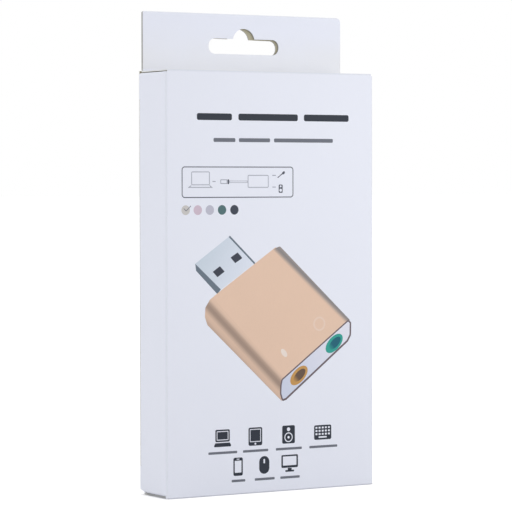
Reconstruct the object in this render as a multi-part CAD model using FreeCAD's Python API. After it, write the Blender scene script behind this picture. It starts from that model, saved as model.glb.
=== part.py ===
"""Hang-tab folding carton of coated board, standing upright on its closed bottom.

One die-cut sheet makes the sleeve, its glued seam, four dust flaps and the folded-over hang tab.
The top lid turns on the crease under the tab and tucks in behind the front panel. The bottom lid
turns on the front panel's lower crease and tucks in against the back panel.

Millimetres, +Z up, front panel towards -Y, origin on the floor under the middle of the carton.
"""
import FreeCAD, Part
import math
import os

from FreeCAD import Vector

# Carton, outside sizes
board = 0.45  # thickness of the board
fold_inner = 0.4  # radius inside each crease
carton_width = 94.0
carton_depth = 21.0
carton_height = 162.0  # floor to the front panel's upper edge

# Hang tab
tab_height = 23.0  # above the top lid
tab_inset_left = 1.4  # from the carton's left side
tab_inset_right = 2.3
tab_corner_left = 0.8
tab_corner_right = 2.0
tab_gap = 0.25  # between the tab's two layers
slot_width = 32.0
slot_height = 6.0
slot_corner = 2.8
slot_lift = 7.4  # from the top lid to the slot's lower edge
bump_radius = 5.0
bump_rise = 4.0  # from the slot's upper edge to the bump's crown
slot_shift = 2.3  # rear layer's slot, out of register towards -X
slot_tilt = 0.8  # and turned about its left end, in degrees
slot_extra = 1.4  # rear layer's slot, longer at each end

# Lids and their tucks
lid_side_gap = 0.8  # top lid's side edges, in from the carton's sides
base_side_gap = 1.6  # bottom lid's side edges
tuck_length = 10.5  # from the lid's outer face
tuck_side_gap = 1.5  # from the side panel's inner face
tuck_corner = 4.5
lid_shoulder_gap = 0.15  # from the lid's front corners to the tuck's fold

# Dust flaps
dust_length = 30.0  # from the side panel's outer face
dust_taper = 2.2  # lost from each edge towards the free end
dust_corner = 3.0
dust_side_gap = 0.35  # from the panel that the flap runs along

# Glued seam at the rear left corner
glue_width = 14.0
glue_taper = 5.0
seam_inset = 0.3  # back panel's cut edge, in from the left side
relief_depth = 4.0  # corner cut off the left panel's foot, forwards from the back panel
relief_width = 3.5  # corner cut off the back panel's foot, in from the left side
relief_rise = 1.4  # of both, above the left panel's lower edge

# Clearances
foot_gap = 0.1  # bottom lid, above the floor
corner_gap = 0.2  # front corners of the sleeve, above the floor
seat_gap = 0.3  # between a lid and the dust flaps under it
crease_gap = 0.1  # along each lid's crease
tuck_gap = 0.3  # between a tuck and the panel that it slides behind
swing_gap = 0.5  # between a turning tuck and what stays

# Values that follow
fold_outer = fold_inner + board
half_width = carton_width / 2
half_depth = carton_depth / 2
side_low = foot_gap + board + seat_gap
side_high = carton_height - board - seat_gap
tab_left = tab_inset_left - half_width
tab_right = half_width - tab_inset_right
tab_middle = (tab_left + tab_right) / 2
top_hinge_y = half_depth - 2 * board - tab_gap
top_reach = top_hinge_y + half_depth - board - tuck_gap
bottom_hinge_y = fold_outer - half_depth
bottom_reach = half_depth - board - tuck_gap - bottom_hinge_y
tuck_width = carton_width - 2 * (board + tuck_side_gap)
seam_low = foot_gap + tuck_length + swing_gap
seam_high = carton_height - tuck_length - swing_gap


def in_plan(u, v):
    """Point of a section seen from above."""
    return Vector(u, v, 0)


def in_profile(u, v):
    """Point of a section seen along X."""
    return Vector(0, u, v)


def in_front(u, v):
    """Point of an outline seen along Y."""
    return Vector(u, 0, v)


def run(length):
    """Straight stretch of a board section."""
    return 0.0, length


def bend(degrees, inner=fold_inner):
    """Crease of a board section, turning left where degrees is positive."""
    return degrees, inner


def board_section(view, start, heading, moves):
    """Face of the board's cut section, followed along its middle line from start."""
    here = Vector(start[0], start[1], 0)
    angle = math.radians(heading)
    sides = {1: [], -1: []}
    for degrees, amount in moves:
        ahead = Vector(math.cos(angle), math.sin(angle), 0)
        left = Vector(-ahead.y, ahead.x, 0)
        turn = math.radians(degrees)
        hand = math.copysign(1, degrees)
        middle_radius = amount + board / 2
        centre = here + left * (hand * middle_radius)
        for side, edges in sides.items():
            if degrees:
                radius = middle_radius - hand * side * board / 2
                spokes = [
                    centre + Vector(math.sin(angle + part), -math.cos(angle + part), 0) * (hand * radius)
                    for part in (0, turn / 2, turn)
                ]
                edges.append(Part.Arc(*[view(p.x, p.y) for p in spokes]).toShape())
            else:
                first = here + left * (side * board / 2)
                last = first + ahead * amount
                edges.append(Part.LineSegment(view(first.x, first.y), view(last.x, last.y)).toShape())
        if degrees:
            here = centre + Vector(math.sin(angle + turn), -math.cos(angle + turn), 0) * (hand * middle_radius)
            angle += turn
        else:
            here = here + ahead * amount
    caps = [
        Part.LineSegment(sides[1][end].Vertexes[end].Point, sides[-1][end].Vertexes[end].Point).toShape()
        for end in (0, -1)
    ]
    return Part.Face(Part.Wire(Part.__sortEdges__(sides[1] + sides[-1] + caps)))


def outline_face(view, corners):
    """Face inside (u, v, radius) corners, each rounded to its radius."""
    points = [Vector(u, v, 0) for u, v, radius in corners]
    starts = []
    ends = []
    edges = []
    for index, here in enumerate(points):
        radius = corners[index][2]
        back = (points[index - 1] - here).normalize()
        onward = (points[(index + 1) % len(points)] - here).normalize()
        half_angle = back.getAngle(onward) / 2
        trim = radius / math.tan(half_angle)
        first = here + back * trim
        last = here + onward * trim
        if radius:
            inward = (back + onward).normalize()
            crown = here + inward * (radius / math.sin(half_angle) - radius)
            edges.append(Part.Arc(*[view(p.x, p.y) for p in (first, crown, last)]).toShape())
        starts.append(first)
        ends.append(last)
    for index, first in enumerate(starts):
        last = ends[index - 1]
        edges.append(Part.LineSegment(view(last.x, last.y), view(first.x, first.y)).toShape())
    return Part.Face(Part.Wire(Part.__sortEdges__(edges)))


def between(face, axis, low, high):
    """Solid of a face drawn through the origin, pushed along axis from low to high."""
    placed = face.copy()
    placed.translate(axis * low)
    return placed.extrude(axis * (high - low))


def box(low, high):
    """Solid between two corners."""
    return Part.makeBox(*(high - low), low)


AXIS_X = Vector(1, 0, 0)
AXIS_Y = Vector(0, 1, 0)
AXIS_Z = Vector(0, 0, 1)


def tuck_lean(reach):
    """Angle that lets a stiff tuck of this reach swing out with its tip no further out than its fold."""
    return math.asin((tuck_length + fold_outer) / (2 * reach))


def tuck_clear(reach):
    """Distance from a lid's hinge that its turning tuck never comes inside."""
    lean = tuck_lean(reach)
    return reach * math.cos(lean) + fold_outer * math.sin(lean) - board - swing_gap


def make_sleeve():
    """Left, front, right and back panels, between the levels of the dust flaps' folds."""
    rear_fold = half_depth - board - fold_outer
    moves = [
        run(rear_fold + half_depth - fold_outer),
        bend(90),
        run(carton_width - 2 * fold_outer),
        bend(90),
        run(carton_depth - 2 * fold_outer),
        bend(90),
        run(carton_width - fold_outer - seam_inset),
    ]
    section = board_section(in_plan, (-half_width + board / 2, rear_fold), -90, moves)
    return between(section, AXIS_Z, side_low, side_high)


def make_corner_feet():
    """Front corners of the sleeve, carried down on either side of the bottom lid's fold."""
    start = (-half_width + board / 2, -half_depth + fold_outer)
    left = between(board_section(in_plan, start, -90, [bend(90)]), AXIS_Z, corner_gap, side_low)
    return [left, left.mirror(Vector(), AXIS_X)]


def make_tall_panels():
    """Front and back panels at their full height, the front one with the fold for the bottom lid."""
    section = board_section(
        in_profile,
        (-half_depth + board / 2, carton_height),
        -90,
        [run(carton_height - fold_outer), bend(90)],
    )
    front = between(section, AXIS_X, -half_width + fold_outer, half_width - fold_outer)
    back = box(
        Vector(-half_width + seam_inset, half_depth - board, 0),
        Vector(half_width - fold_outer, half_depth, carton_height),
    )
    return [front, back]


def make_seam():
    """Glue flap folded in from the left panel, with the panel's bare rear edge above and below it."""
    rear_fold = half_depth - board - fold_outer
    moves = [bend(-90), run(glue_width - fold_outer)]
    section = board_section(in_plan, (-half_width + board / 2, rear_fold), 90, moves)
    free_edge = -half_width + glue_width
    outline = outline_face(in_front, [
        (-half_width, seam_low, 0),
        (free_edge, seam_low + glue_taper, 0),
        (free_edge, seam_high - glue_taper, 0),
        (-half_width, seam_high, 0),
    ])
    flap = between(section, AXIS_Z, seam_low, seam_high)
    flap = flap.common(between(outline, AXIS_Y, -half_depth, half_depth))
    edges = [
        box(
            Vector(-half_width, rear_fold, low),
            Vector(-half_width + board, half_depth - board - seat_gap, high),
        )
        for low, high in ((side_low, seam_low), (seam_high, side_high))
    ]
    return [flap, *edges]


def make_relief():
    """Cutters for the corners at the foot of the left and back panels, below the glue flap."""
    back_inside = half_depth - board
    crown = side_low + relief_rise
    beside = outline_face(in_profile, [
        (back_inside - relief_depth, side_low, 0),
        (back_inside, side_low, 0),
        (back_inside, crown, 0),
    ])
    behind = outline_face(in_front, [
        (-half_width, 0, 0),
        (-half_width + relief_width, 0, 0),
        (-half_width, crown, 0),
    ])
    return [
        between(beside, AXIS_X, -half_width, -half_width + fold_outer),
        between(behind, AXIS_Y, back_inside, half_depth),
    ]


def make_left_dust_flap(near_y, far_y):
    """Flap folded in from the top of the left panel, between two distances along Y."""
    section = board_section(
        in_front,
        (-half_width + board / 2, side_high - fold_outer),
        90,
        [bend(-90), run(dust_length - fold_outer)],
    )
    free_end = -half_width + dust_length
    outline = outline_face(in_plan, [
        (-half_width, near_y, 0),
        (-half_width + fold_outer, near_y, 0),
        (free_end, near_y + dust_taper, dust_corner),
        (free_end, far_y - dust_taper, dust_corner),
        (-half_width + fold_outer, far_y, 0),
        (-half_width, far_y, 0),
    ])
    flap = between(section, AXIS_Y, -half_depth, half_depth)
    return flap.common(between(outline, AXIS_Z, 0, carton_height))


def make_dust_flaps():
    """Four dust flaps, and the stretches of side panel that their folds take the place of."""
    front_inside = -half_depth + board
    back_inside = half_depth - board
    top_span = (top_hinge_y - tuck_clear(top_reach), back_inside - dust_side_gap)
    bottom_end = min(bottom_hinge_y + tuck_clear(bottom_reach), back_inside - relief_depth - dust_side_gap)
    bottom_span = (front_inside + dust_side_gap, bottom_end)
    flaps = []
    folded = []
    middle = Vector(0, 0, (side_low + side_high) / 2)
    for span, at_bottom in ((top_span, False), (bottom_span, True)):
        flap = make_left_dust_flap(*span)
        wall = box(
            Vector(-half_width, span[0], side_high - fold_outer),
            Vector(-half_width + board, span[1], side_high),
        )
        for shapes, shape in ((flaps, flap), (folded, wall)):
            left = shape.mirror(middle, AXIS_Z) if at_bottom else shape
            shapes += [left, left.mirror(Vector(), AXIS_X)]
    return flaps, folded


def make_slot(width, shift, tilt, near_y, far_y):
    """Cutter for a hanging slot, between two distances along Y."""
    low = carton_height + slot_lift
    high = low + slot_height
    middle = tab_middle - shift
    left = middle - width / 2
    right = middle + width / 2
    bar = outline_face(in_front, [
        (left, low, slot_corner),
        (right, low, slot_corner),
        (right, high, slot_corner),
        (left, high, slot_corner),
    ])
    bump_base = Vector(middle, near_y, high + bump_rise - bump_radius)
    bump = Part.makeCylinder(bump_radius, far_y - near_y, bump_base, AXIS_Y)
    slot = between(bar, AXIS_Y, near_y, far_y).fuse(bump)
    slot.rotate(Vector(left, 0, high), AXIS_Y, tilt)
    return slot


def make_tab():
    """Back panel's upper stretch, folded forwards and down on itself, with the slot through both layers."""
    top_bend = tab_gap / 2 + board
    moves = [
        run(tab_height - top_bend),
        bend(180, tab_gap / 2),
        run(tab_height - top_bend - crease_gap),
    ]
    section = board_section(in_profile, (half_depth - board / 2, carton_height), 90, moves)
    crown = carton_height + tab_height
    outline = outline_face(in_front, [
        (tab_left, carton_height, 0),
        (tab_right, carton_height, 0),
        (tab_right, crown, tab_corner_right),
        (tab_left, crown, tab_corner_left),
    ])
    tab = between(section, AXIS_X, tab_left, tab_right)
    tab = tab.common(between(outline, AXIS_Y, -half_depth, half_depth))
    between_layers = half_depth - board - tab_gap / 2
    front_slot = make_slot(slot_width, 0, 0, -half_depth, between_layers)
    rear_width = slot_width + 2 * slot_extra
    rear_slot = make_slot(rear_width, slot_shift, slot_tilt, between_layers, carton_depth)
    return tab.cut(front_slot).cut(rear_slot)


def make_carton():
    """Sleeve with its seam, dust flaps and hang tab, as the one sheet that they are."""
    flaps, folded = make_dust_flaps()
    front_foot = box(
        Vector(-half_width + fold_outer, -half_depth, 0),
        Vector(half_width - fold_outer, -half_depth + board, fold_outer),
    )
    sleeve = make_sleeve().fuse(make_seam()).cut(folded + [front_foot])
    sheet = sleeve.fuse(make_corner_feet() + make_tall_panels() + flaps + [make_tab()])
    return sheet.cut(make_relief()).removeSplitter()


def make_lid(reach, side_gap):
    """Closed lid on a hinge line at the origin: outer face up, running towards -Y, tuck folded down."""
    lean = tuck_lean(reach)
    moves = [
        run(reach - fold_outer - crease_gap),
        bend(90 + math.degrees(lean)),
        run(tuck_length - fold_outer),
    ]
    section = board_section(in_profile, (-crease_gap, -board / 2), 180, moves)
    tuck_edge = tuck_width / 2
    tip = -fold_outer * (1 + math.sin(lean)) - (tuck_length - fold_outer) * math.cos(lean)
    tuck_outline = outline_face(in_front, [
        (-tuck_edge, 0, 0),
        (-tuck_edge, tip, tuck_corner),
        (tuck_edge, tip, tuck_corner),
        (tuck_edge, 0, 0),
    ])
    strip = between(section, AXIS_X, -tuck_edge, tuck_edge)
    strip = strip.common(between(tuck_outline, AXIS_Y, -reach, 0))
    lid_edge = half_width - side_gap
    fold_line = fold_outer - reach
    shoulder = lid_shoulder_gap - reach
    panel_outline = outline_face(in_plan, [
        (-lid_edge, -crease_gap, 0),
        (-lid_edge, shoulder, 0),
        (-tuck_edge, shoulder, 0),
        (-tuck_edge, fold_line, 0),
        (tuck_edge, fold_line, 0),
        (tuck_edge, shoulder, 0),
        (lid_edge, shoulder, 0),
        (lid_edge, -crease_gap, 0),
    ])
    panel = between(panel_outline, AXIS_Z, -board, 0)
    return panel.fuse(strip).removeSplitter()


def make_top_lid():
    """Lid under the tab, tucked in behind the front panel."""
    lid = make_lid(top_reach, lid_side_gap)
    lid.translate(Vector(0, top_hinge_y, carton_height))
    return lid


def make_bottom_lid():
    """Lid behind the front panel's lower fold, tucked in against the back panel."""
    lid = make_lid(bottom_reach, base_side_gap)
    lid.rotate(Vector(), AXIS_X, 180)
    lid.translate(Vector(0, bottom_hinge_y, foot_gap))
    return lid


os.makedirs("parts", exist_ok=True)
for name, shape in (
    ("carton", make_carton()),
    ("top_lid", make_top_lid()),
    ("bottom_lid", make_bottom_lid()),
):
    shape.exportStep(f"parts/{name}.step")
    print(name, len(shape.Solids), "solid", shape.isValid(), round(shape.Volume, 2), "mm3")
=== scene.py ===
"""Looks of the hang-tab folding carton: folded coated board, generic print, studio stage and camera.

Sizes inside the functions are in millimetres, as on a die-cutter's drawing. Meshes are in metres.
"""
import itertools
import math
from collections import namedtuple

import bmesh
import bpy
from bpy.props import FloatProperty, FloatVectorProperty, PointerProperty
from mathutils import Color, Euler, Matrix, Vector
from mathutils.geometry import delaunay_2d_cdt


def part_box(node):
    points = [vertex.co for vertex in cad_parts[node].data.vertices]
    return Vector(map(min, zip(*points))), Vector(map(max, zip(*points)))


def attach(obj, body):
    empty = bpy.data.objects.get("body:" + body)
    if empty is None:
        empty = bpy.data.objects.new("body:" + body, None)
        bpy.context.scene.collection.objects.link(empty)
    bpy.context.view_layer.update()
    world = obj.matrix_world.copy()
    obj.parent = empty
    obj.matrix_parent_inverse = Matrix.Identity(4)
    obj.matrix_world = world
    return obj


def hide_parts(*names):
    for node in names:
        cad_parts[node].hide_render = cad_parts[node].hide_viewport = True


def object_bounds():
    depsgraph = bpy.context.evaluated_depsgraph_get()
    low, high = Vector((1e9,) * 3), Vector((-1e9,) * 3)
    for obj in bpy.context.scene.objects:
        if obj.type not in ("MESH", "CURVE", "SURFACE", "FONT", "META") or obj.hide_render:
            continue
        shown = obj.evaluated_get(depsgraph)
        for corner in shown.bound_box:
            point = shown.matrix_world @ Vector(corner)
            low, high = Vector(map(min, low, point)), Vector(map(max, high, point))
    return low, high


bl_info = {
    "name": "Hang-tab folding carton",
    "version": (1, 0, 0),
    "blender": (4, 5, 0),
    "location": "View3D > Sidebar > Carton",
    "description": "Folds, prints and stages a hang-tab carton around its packed model",
    "category": "Object",
}

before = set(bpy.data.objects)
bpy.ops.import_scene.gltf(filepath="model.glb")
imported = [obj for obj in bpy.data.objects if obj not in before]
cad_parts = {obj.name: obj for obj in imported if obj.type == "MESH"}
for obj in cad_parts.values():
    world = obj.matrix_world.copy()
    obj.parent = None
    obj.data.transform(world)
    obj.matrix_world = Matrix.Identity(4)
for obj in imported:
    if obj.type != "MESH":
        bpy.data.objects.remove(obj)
CAD_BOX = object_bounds()
CARTON_LOW, CARTON_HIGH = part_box("carton")
LID_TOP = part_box("top_lid")[1].z

MM = 0.001
WHITE = (1.0, 1.0, 1.0, 1.0)
QUARTER_TURN = math.pi / 2
BEND_STEPS = 6  # facets in each quarter turn
ARC_STEPS = 7  # facets in each rounded corner
OVAL_STEPS = 40
CREASE_HOLD = 0.25  # flat strip kept beside each bend, so that the panels shade flat
DARK_EDGE = 2.2  # darkening of the strip along the front panel's upper edge and wear of the tab's crown, where a fold's wear is 1
SHARP_ANGLE = math.radians(35)
CUT_TOLERANCE = 0.001
FILL_TOLERANCE = 0.0001
BACK_AND_RIM = (1, 2)  # places of the inside and the cut edge among the board's materials


# Settings

def length(name, description, millimetres):
    """Property for a length, kept in metres."""
    return FloatProperty(
        name=name,
        description=description,
        default=millimetres * MM,
        min=0.0,
        precision=5,
        unit='LENGTH',
    )


def location(name, description, *millimetres):
    """Property for a place, kept in metres."""
    return FloatVectorProperty(
        name=name,
        description=description,
        default=tuple(value * MM for value in millimetres),
        subtype='TRANSLATION',
        unit='LENGTH',
    )


def bearing(name, description, degrees):
    """Property for an angle."""
    return FloatProperty(name=name, description=description, default=math.radians(degrees), subtype='ANGLE')


def colour(name, description, red, green, blue):
    """Property for a colour, given in 8-bit screen values."""
    screen = Color((red / 255, green / 255, blue / 255))
    return FloatVectorProperty(
        name=name,
        description=description,
        default=screen.from_srgb_to_scene_linear()[:],
        min=0.0,
        max=1.0,
        size=3,
        subtype='COLOR',
    )


def level(name, description, value):
    """Property for a lamp's or the world's strength."""
    return FloatProperty(name=name, description=description, default=value, min=0.0)


class CartonSizes(bpy.types.PropertyGroup):
    """Sizes of the die-cut sheet and of its clearances when it is folded."""
    width: length("Width", "Outside, side to side", (CARTON_HIGH.x - CARTON_LOW.x) / MM)
    depth: length("Depth", "Outside, front to back", (CARTON_HIGH.y - CARTON_LOW.y) / MM)
    height: length("Height", "Floor to the front panel's upper edge", LID_TOP / MM)
    tab_height: length("Tab height", "Hang tab above the top lid", (CARTON_HIGH.z - LID_TOP) / MM)
    board: length("Board", "Thickness of the board", 0.45)
    fold_inner: length("Fold", "Radius inside each crease", 0.4)
    # A strip that is only painted darker with the crease colour; the board keeps its shape there.
    rim: length("Rim", "Crushed strip along the front panel's upper edge", 0.9)
    foot_fold: length("Foot fold", "Outer radius of the front panel's pressed lower crease", 0.5)
    nick: length("Nick", "Cut beside the root of each flap", 0.15)
    tab_inset_left: length("Tab inset left", "From the carton's left side", 1.4)
    tab_inset_right: length("Tab inset right", "From the carton's right side", 2.3)
    tab_corner_left: length("Tab corner left", "Radius of the tab's left corner", 0.8)
    tab_corner_right: length("Tab corner right", "Radius of the tab's right corner", 2.0)
    tab_gap: length("Tab gap", "Between the tab's two layers", 0.25)
    slot_width: length("Slot width", "Hanging slot, side to side", 32.0)
    slot_height: length("Slot height", "Hanging slot, beside its bump", 6.0)
    slot_corner: length("Slot corner", "Radius of the slot's corners", 2.8)
    slot_lift: length("Slot lift", "Top lid to the slot's lower edge", 7.4)
    bump_radius: length("Bump radius", "Round bump of the slot", 5.0)
    bump_rise: length("Bump rise", "Slot's upper edge to the bump's crown", 4.0)
    slot_shift: length("Slot shift", "Rear layer's slot, out of register to the left", 2.3)
    slot_fall: length("Slot fall", "Rear layer's slot, lower at its right end", 0.486)
    slot_extra: length("Slot extra", "Rear layer's slot, longer at each end", 1.4)
    lid_side_gap: length("Lid side gap", "Top lid's side edges, in from the carton's sides", 0.8)
    base_side_gap: length("Base side gap", "Bottom lid's side edges, in from the carton's sides", 1.6)
    tuck_length: length("Tuck length", "From the lid's outer face", 10.5)
    tuck_side_gap: length("Tuck side gap", "From the side panel's inner face", 1.5)
    tuck_corner: length("Tuck corner", "Radius of the tuck's corners", 4.5)
    shoulder_gap: length("Shoulder gap", "Lid's front corners to the tuck's fold", 0.15)
    dust_length: length("Dust flap length", "From the side panel's outer face", 30.0)
    dust_taper: length("Dust flap taper", "Lost from each edge towards the free end", 2.2)
    dust_corner: length("Dust flap corner", "Radius of the flap's corners", 3.0)
    dust_side_gap: length("Dust flap gap", "From the panel that the flap runs along", 0.35)
    glue_width: length("Glue flap width", "Flap of the glued seam", 14.0)
    glue_taper: length("Glue flap taper", "Lost from each end towards the free edge", 5.0)
    glue_gap: length("Glue line", "Between the glue flap and the back panel", 0.02)
    seam_inset: length("Seam inset", "Back panel's cut edge, in from the left side", 0.3)
    relief_depth: length("Relief depth", "Corner cut off the left panel's foot, front to back", 4.0)
    relief_width: length("Relief width", "Corner cut off the back panel's foot, side to side", 3.5)
    relief_rise: length("Relief rise", "Both corners cut off, above the left panel's lower edge", 1.4)
    foot_gap: length("Foot gap", "Bottom lid above the floor", 0.1)
    corner_gap: length("Corner gap", "Front corners of the sleeve above the floor", 0.2)
    seat_gap: length("Seat gap", "Between a lid and the dust flaps under it", 0.3)
    crease_gap: length("Crease gap", "Along each lid's crease", 0.1)
    tuck_gap: length("Tuck gap", "Between a tuck and the panel that it slides behind", 0.3)
    swing_gap: length("Swing gap", "Between a turning tuck and what stays", 0.5)
    film: length("Film", "Room left for the print on the front panel", 0.06)


class BoardFinish(bpy.types.PropertyGroup):
    """Colours of the board's two faces, cut edges and creases, with the shade painted on the hang tab."""
    face: colour("Face", "Coated outside", 232, 235, 246)
    # Also paints the darker strip along the front panel's upper edge.
    crease: colour("Crease", "Coating cracked along a fold", 216, 219, 227)
    # Painted shade and bounce tint: low on the tab's front face the coat is made greyer and a little
    # darker, fading out upwards.
    tab: colour("Tab", "Coated outside low on the hang tab, less blue", 230, 231, 234)
    inside: colour("Inside", "Uncoated inside", 180, 174, 150)
    cut_edge: colour("Cut edge", "Pulp at the die-cut edges", 234, 235, 234)
    # Painted shade: the tab's cut edges, the slot's included, are made dark to stand for the shadow in the
    # gap between its two layers.
    tab_edge: colour("Tab edge", "Pulp at the hang tab's edges", 188, 189, 191)


class PrintInks(bpy.types.PropertyGroup):
    """Inks of the print on the front panel."""
    slate: colour("Slate", "Heavy bars and icons", 50, 55, 65)
    grey: colour("Grey", "Light bars", 112, 116, 126)
    border: colour("Border", "Line round the diagram and its small marks", 86, 89, 100)
    line: colour("Line", "Thin lines in the diagram", 162, 165, 177)
    beige: colour("Beige", "First colour dot", 203, 200, 198)
    pink: colour("Pink", "Second colour dot", 208, 190, 205)
    lilac: colour("Lilac", "Third colour dot", 191, 191, 206)
    teal: colour("Teal", "Fourth colour dot", 85, 115, 118)
    night: colour("Night", "Fifth colour dot", 66, 72, 84)
    gold: colour("Gold", "Pictured adaptor's shell", 230, 199, 177)
    gold_shade: colour("Gold shade", "Shade along the shell's left side", 164, 142, 129)
    gold_edge: colour("Gold edge", "Shade along the shell's right edge", 140, 136, 137)
    light_mark: colour("Light mark", "Bean on the shell", 237, 223, 214)
    faint_mark: colour("Faint mark", "Ring on the shell", 233, 207, 191)
    steel: colour("Steel", "Pictured plug's upper face beside the shell", 224, 230, 243)
    steel_far: colour("Steel far", "Pictured plug's upper face at its far end", 203, 214, 226)
    steel_side: colour("Steel side", "Pictured plug's side", 109, 121, 134)
    hole: colour("Hole", "Openings in the pictured plug", 64, 68, 80)
    end_face: colour("End face", "Pictured adaptor's pale end, on the right", 228, 228, 240)
    end_shade: colour("End shade", "Pictured adaptor's pale end, on the left", 208, 214, 232)
    outline: colour("Outline", "Line round the pale end", 110, 98, 104)
    amber: colour("Amber", "Left jack's ring", 198, 152, 92)
    amber_hole: colour("Amber hole", "Left jack's opening", 106, 87, 75)
    green: colour("Green", "Right jack's ring", 58, 160, 148)
    green_hole: colour("Green hole", "Right jack's opening", 38, 102, 120)


class StageSettings(bpy.types.PropertyGroup):
    """Camera, lamps, world and floor."""
    camera_place: location("Camera place", "Where the camera stands", -534.53, -865.18, 118.92)
    camera_turn: bearing("Camera turn", "To the right of straight ahead", 31.67)
    camera_tilt: bearing("Camera tilt", "Below the horizon", 1.581)
    camera_roll: bearing("Camera roll", "Clockwise about its line of sight", 0.117)
    camera_lens: FloatProperty(
        name="Camera lens",
        description="Focal length in millimetres, on a 36 mm sensor",
        default=184.03,
        subtype='DISTANCE_CAMERA',
    )
    world_level: level("World", "Even light from all round, at the horizon", 0.3)
    zenith_level: level("Zenith", "The same light, overhead", 1.333)
    key_level: level("Key lamp", "Soft lamp near the upper right corner, in watts", 0.189)
    key_place: location("Key lamp place", "Where the key lamp stands", 160, -240, 180)
    key_size: length("Key lamp size", "Side of the key lamp's square", 200)
    fill_level: level("Fill lamp", "Soft lamp on the left, in watts", 0.31)
    fill_place: location("Fill lamp place", "Where the fill lamp stands", -400, -60, 280)
    fill_size: length("Fill lamp size", "Side of the fill lamp's square", 300)
    floor_lift: level("Floor lift", "Added to the floor for the camera, so that it reads as white", 0.5)
    crevice: length("Crevice", "Reach of the shade that the floor keeps under the carton", 3.0)
    floor: colour("Floor", "Pale plain floor", 214, 214, 215)


class Carton:
    """The carton's sizes in millimetres, and the ones that follow from them."""

    def __init__(self, sizes):
        for name in CartonSizes.__annotations__:
            setattr(self, name, getattr(sizes, name) / MM)
        self.fold_outer = self.fold_inner + self.board
        self.half_width = self.width / 2
        self.half_depth = self.depth / 2
        self.front_y = self.film - self.half_depth
        self.rear_y = self.half_depth - self.board - self.glue_gap - self.fold_outer
        self.side_low = self.foot_gap + self.board + self.seat_gap
        self.side_high = self.height - self.board - self.seat_gap
        self.tab_left = self.tab_inset_left - self.half_width
        self.tab_right = self.half_width - self.tab_inset_right
        self.tab_bend = self.tab_gap / 2 + self.board
        self.tab_bend_z = self.height + self.tab_height - self.tab_bend
        self.top_hinge_y = self.half_depth - 2 * self.board - self.tab_gap
        self.top_reach = self.top_hinge_y + self.half_depth - self.board - self.tuck_gap
        self.bottom_hinge_y = self.fold_outer - self.half_depth
        self.bottom_reach = self.half_depth - self.board - self.tuck_gap - self.bottom_hinge_y
        self.lid_edge = self.half_width - self.lid_side_gap
        self.base_edge = self.half_width - self.base_side_gap
        self.tuck_edge = self.half_width - self.board - self.tuck_side_gap
        self.seam_low = self.foot_gap + self.tuck_length + self.swing_gap
        self.seam_high = self.height - self.tuck_length - self.swing_gap

    def tuck_lean(self, reach):
        """Inward lean that lets a stiff tuck of this reach swing out."""
        return math.asin((self.tuck_length + self.fold_outer) / (2 * reach))

    def tuck_clear(self, reach):
        """Distance from a lid's hinge that its turning tuck never comes inside."""
        lean = self.tuck_lean(reach)
        fold = reach * math.cos(lean) + self.fold_outer * math.sin(lean)
        return fold - self.board - self.swing_gap


# Outlines

def corner_ways(corners, index):
    """A corner, and the unit vectors from it to the corner before and to the one after."""
    here = Vector(corners[index][:2])
    before = Vector(corners[index - 1][:2])
    after = Vector(corners[(index + 1) % len(corners)][:2])
    return here, (before - here).normalized(), (after - here).normalized()


def rounded(corners):
    """Points of a closed outline through (u, v, radius) corners."""
    points = []
    for index, (u, v, radius) in enumerate(corners):
        if not radius:
            points.append(Vector((u, v)))
            continue
        here, back, onward = corner_ways(corners, index)
        half_angle = back.angle(onward) / 2
        centre = here + (back + onward).normalized() * (radius / math.sin(half_angle))
        tangent = radius / math.tan(half_angle)
        first = here + back * tangent - centre
        last = here + onward * tangent - centre
        for step in range(ARC_STEPS + 1):
            points.append(centre + first.slerp(last, step / ARC_STEPS).normalized() * radius)
    return points


def inset(corners, distance):
    """Corners of a bulging outline after its sides are moved in by a distance."""
    moved = []
    for index, corner in enumerate(corners):
        here, back, onward = corner_ways(corners, index)
        reach = distance / math.sin(back.angle(onward) / 2)
        place = here + (back + onward).normalized() * reach
        moved.append((*place, max(corner[2] - distance, 0.0)))
    return moved


def rectangle(left, low, right, high, radius=0.0):
    """Corners of an upright rectangle."""
    return [(left, low, radius), (right, low, radius), (right, high, radius), (left, high, radius)]


def panel(left, low, right, high, radius=0.0):
    """Outline of an upright rectangle with rounded corners."""
    return rounded(rectangle(left, low, right, high, radius))


def oval(centre, across, up, tilt=0.0):
    """Ellipse of two half sizes, turned by tilt degrees."""
    angle = math.radians(tilt)
    points = []
    for step in range(OVAL_STEPS):
        round_angle = 2 * math.pi * step / OVAL_STEPS
        u = across * math.cos(round_angle)
        v = up * math.sin(round_angle)
        points.append(Vector((
            centre[0] + u * math.cos(angle) - v * math.sin(angle),
            centre[1] + u * math.sin(angle) + v * math.cos(angle),
        )))
    return points


def stroke(places, width):
    """Outline of a line of this width through the places, mitred at its corners."""
    line = [Vector(place) for place in places]
    sides = ([], [])
    for index, here in enumerate(line):
        ways = []
        if index:
            ways.append((here - line[index - 1]).normalized())
        if index < len(line) - 1:
            ways.append((line[index + 1] - here).normalized())
        way = sum(ways, Vector((0, 0))).normalized()
        reach = width / 2 / way.dot(ways[0])
        across = Vector((-way.y, way.x)) * reach
        sides[0].append(here - across)
        sides[1].append(here + across)
    return sides[0] + sides[1][::-1]


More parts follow.
